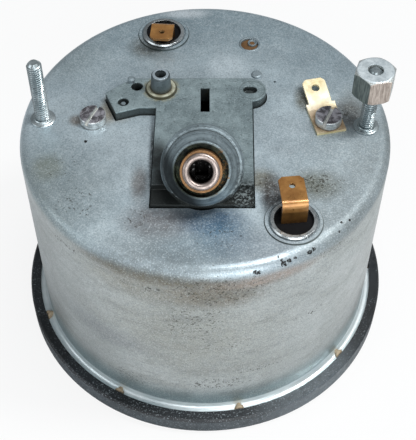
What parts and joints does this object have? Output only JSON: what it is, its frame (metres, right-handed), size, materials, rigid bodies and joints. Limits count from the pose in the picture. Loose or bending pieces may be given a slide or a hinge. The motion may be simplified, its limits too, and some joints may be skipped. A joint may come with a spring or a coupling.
{
  "type": "panel speedometer",
  "caption": "Round panel speedometer with a plated steel case, tilted drive barrel, magnetic pointer movement, distance drums, trip reset post and push-in lamps.",
  "frame": {"origin": "centre of the bezel's front edge", "axes": "+Z from the glass to the back of the case, -Y the way the drive barrel leans"},
  "size_m": [0.108, 0.108, 0.0891],
  "materials": {
    "plated_steel": "zinc plated, worn",
    "black_paint": "satin black paint",
    "seal_compound": "aged sealing ring",
    "black_rubber": "matte",
    "clear_glass": "clear",
    "white_ring": "matte white",
    "dial_black": "matte black",
    "pointer_paint": "satin orange",
    "hub_black": "gloss",
    "steel": "turned",
    "spring_bronze": "polished",
    "cup_aluminium": "satin",
    "magnet_grey": "ground",
    "gear_brass": "machined",
    "cast_zinc": "die cast, dull",
    "bush_bronze": "worn",
    "drum_black": "matte",
    "bridge_brass": "stamped",
    "reset_grey": "dull",
    "terminal_brass": "pale, bright",
    "lamp_metal": "bright",
    "insulator": "dark phenolic",
    "blade_bronze": "brown bronze",
    "bulb_glass": "clear",
    "plug_copper": "tarnished"
  },
  "bodies": {
    "case": {"rear_case": "plated_steel", "bezel_ring": "black_paint", "case_seal": "seal_compound", "glass_seal": "black_rubber", "glass": "clear_glass", "light_ring": "white_ring", "dial": "dial_black", "dial_screws": "steel", "stop_pin": "steel", "hairspring": "spring_bronze", "field_cup": "steel", "movement_frame": "cast_zinc", "frame_pins": "steel", "drive_bush": "bush_bronze", "odometer_axle": "steel", "front_bridge": "bridge_brass", "bridge_screws": "steel", "reset_bush": "bush_bronze", "mounting_studs": "plated_steel", "case_screws": "plated_steel", "ground_terminal": "terminal_brass", "case_plug": "plug_copper", "case_rivet": "plated_steel"},
    "drive": {"drive_shaft": "steel", "drive_bevel": "gear_brass"},
    "magnet_rotor": {"magnet": "magnet_grey", "magnet_shaft": "steel", "magnet_bevel": "gear_brass", "drive_worm": "gear_brass"},
    "cross_train": {"cross_wheel": "gear_brass", "cross_shaft": "steel", "cross_worm": "gear_brass"},
    "counter_train": {"counter_wheel": "gear_brass", "counter_shaft": "steel", "counter_bevel": "gear_brass"},
    "drum_1": {"drum_bevel": "gear_brass", "odometer_drum_1": "drum_black"},
    "drum_2": {"odometer_drum_2": "drum_black"},
    "drum_3": {"odometer_drum_3": "drum_black"},
    "drum_4": {"odometer_drum_4": "drum_black"},
    "drum_5": {"odometer_drum_5": "drum_black"},
    "needle": {"pointer": "pointer_paint", "pointer_cap": "hub_black", "pointer_spindle": "steel", "speed_cup": "cup_aluminium"},
    "reset": {"reset_spindle": "reset_grey", "reset_bevel": "gear_brass"},
    "trip": {"trip_bevel": "gear_brass", "trip_axle": "steel", "trip_drums": "drum_black"},
    "nut": {"long_nut": "plated_steel"},
    "lamp_near": {"lamp_socket_near": "lamp_metal", "lamp_insulator_near": "insulator", "lamp_blade_near": "blade_bronze", "lamp_bulb_near": "bulb_glass"},
    "lamp_far": {"lamp_socket_far": "lamp_metal", "lamp_insulator_far": "insulator", "lamp_blade_far": "blade_bronze", "lamp_bulb_far": "bulb_glass"}
  },
  "joints": [
    {"name": "drive_spin", "type": "hinge", "parent": "case", "child": "drive", "pos_m": [-0.00071, -0.02242, 0.07692], "axis": [-0.0235, -0.7474, 0.6639], "continuous": true},
    {"name": "magnet_spin", "type": "hinge", "parent": "case", "child": "magnet_rotor", "pos_m": [0, 0, 0.057], "axis": [0, 0, 1], "continuous": true},
    {"name": "cross_spin", "type": "hinge", "parent": "case", "child": "cross_train", "pos_m": [-0.009, 0, 0.052], "axis": [0, 1, 0], "continuous": true},
    {"name": "counter_spin", "type": "hinge", "parent": "case", "child": "counter_train", "pos_m": [-0.0185, -0.019, 0.052], "axis": [0, 0, 1], "continuous": true},
    {"name": "drum_1_spin", "type": "hinge", "parent": "case", "child": "drum_1", "pos_m": [0, -0.019, 0.0164], "axis": [1, 0, 0], "continuous": true},
    {"name": "drum_2_spin", "type": "hinge", "parent": "case", "child": "drum_2", "pos_m": [0, -0.019, 0.0164], "axis": [1, 0, 0], "continuous": true},
    {"name": "drum_3_spin", "type": "hinge", "parent": "case", "child": "drum_3", "pos_m": [0, -0.019, 0.0164], "axis": [1, 0, 0], "continuous": true},
    {"name": "drum_4_spin", "type": "hinge", "parent": "case", "child": "drum_4", "pos_m": [0, -0.019, 0.0164], "axis": [1, 0, 0], "continuous": true},
    {"name": "drum_5_spin", "type": "hinge", "parent": "case", "child": "drum_5", "pos_m": [0, -0.019, 0.0164], "axis": [1, 0, 0], "continuous": true},
    {"name": "needle_swing", "type": "hinge", "parent": "case", "child": "needle", "pos_m": [0, 0, 0.007], "axis": [0, 0, 1], "range_deg": [0, 250], "stiffness_Nm_per_rad": 0.0002},
    {"name": "reset_turn", "type": "hinge", "parent": "case", "child": "reset", "pos_m": [-0.0118, 0.0105, 0.07], "axis": [0, 0, 1], "continuous": true},
    {"name": "trip_spin", "type": "hinge", "parent": "case", "child": "trip", "pos_m": [0, 0.0105, 0.0164], "axis": [1, 0, 0], "continuous": true},
    {"name": "nut_travel", "type": "slide", "parent": "case", "child": "nut", "axis": [0, 0, 1], "range_m": [-0.01, 0]},
    {"name": "lamp_near_pull", "type": "slide", "parent": "case", "child": "lamp_near", "axis": [0, 0, 1], "range_m": [0, 0.026]},
    {"name": "lamp_far_pull", "type": "slide", "parent": "case", "child": "lamp_far", "axis": [0, 0, 1], "range_m": [0, 0.026]}
  ],
  "couplings": [
    {"joint": "magnet_spin", "follows": "drive_spin", "ratio": -1},
    {"joint": "cross_spin", "follows": "drive_spin", "ratio": -0.041667},
    {"joint": "counter_spin", "follows": "drive_spin", "ratio": 0.0016026},
    {"joint": "drum_1_spin", "follows": "drive_spin", "ratio": -0.0016026},
    {"joint": "drum_2_spin", "follows": "drive_spin", "ratio": -0.00016026},
    {"joint": "drum_3_spin", "follows": "drive_spin", "ratio": -0.000016026},
    {"joint": "drum_4_spin", "follows": "drive_spin", "ratio": -0.0000016026},
    {"joint": "drum_5_spin", "follows": "drive_spin", "ratio": -0.00000016026},
    {"joint": "trip_spin", "follows": "reset_turn", "ratio": -1}
  ]
}
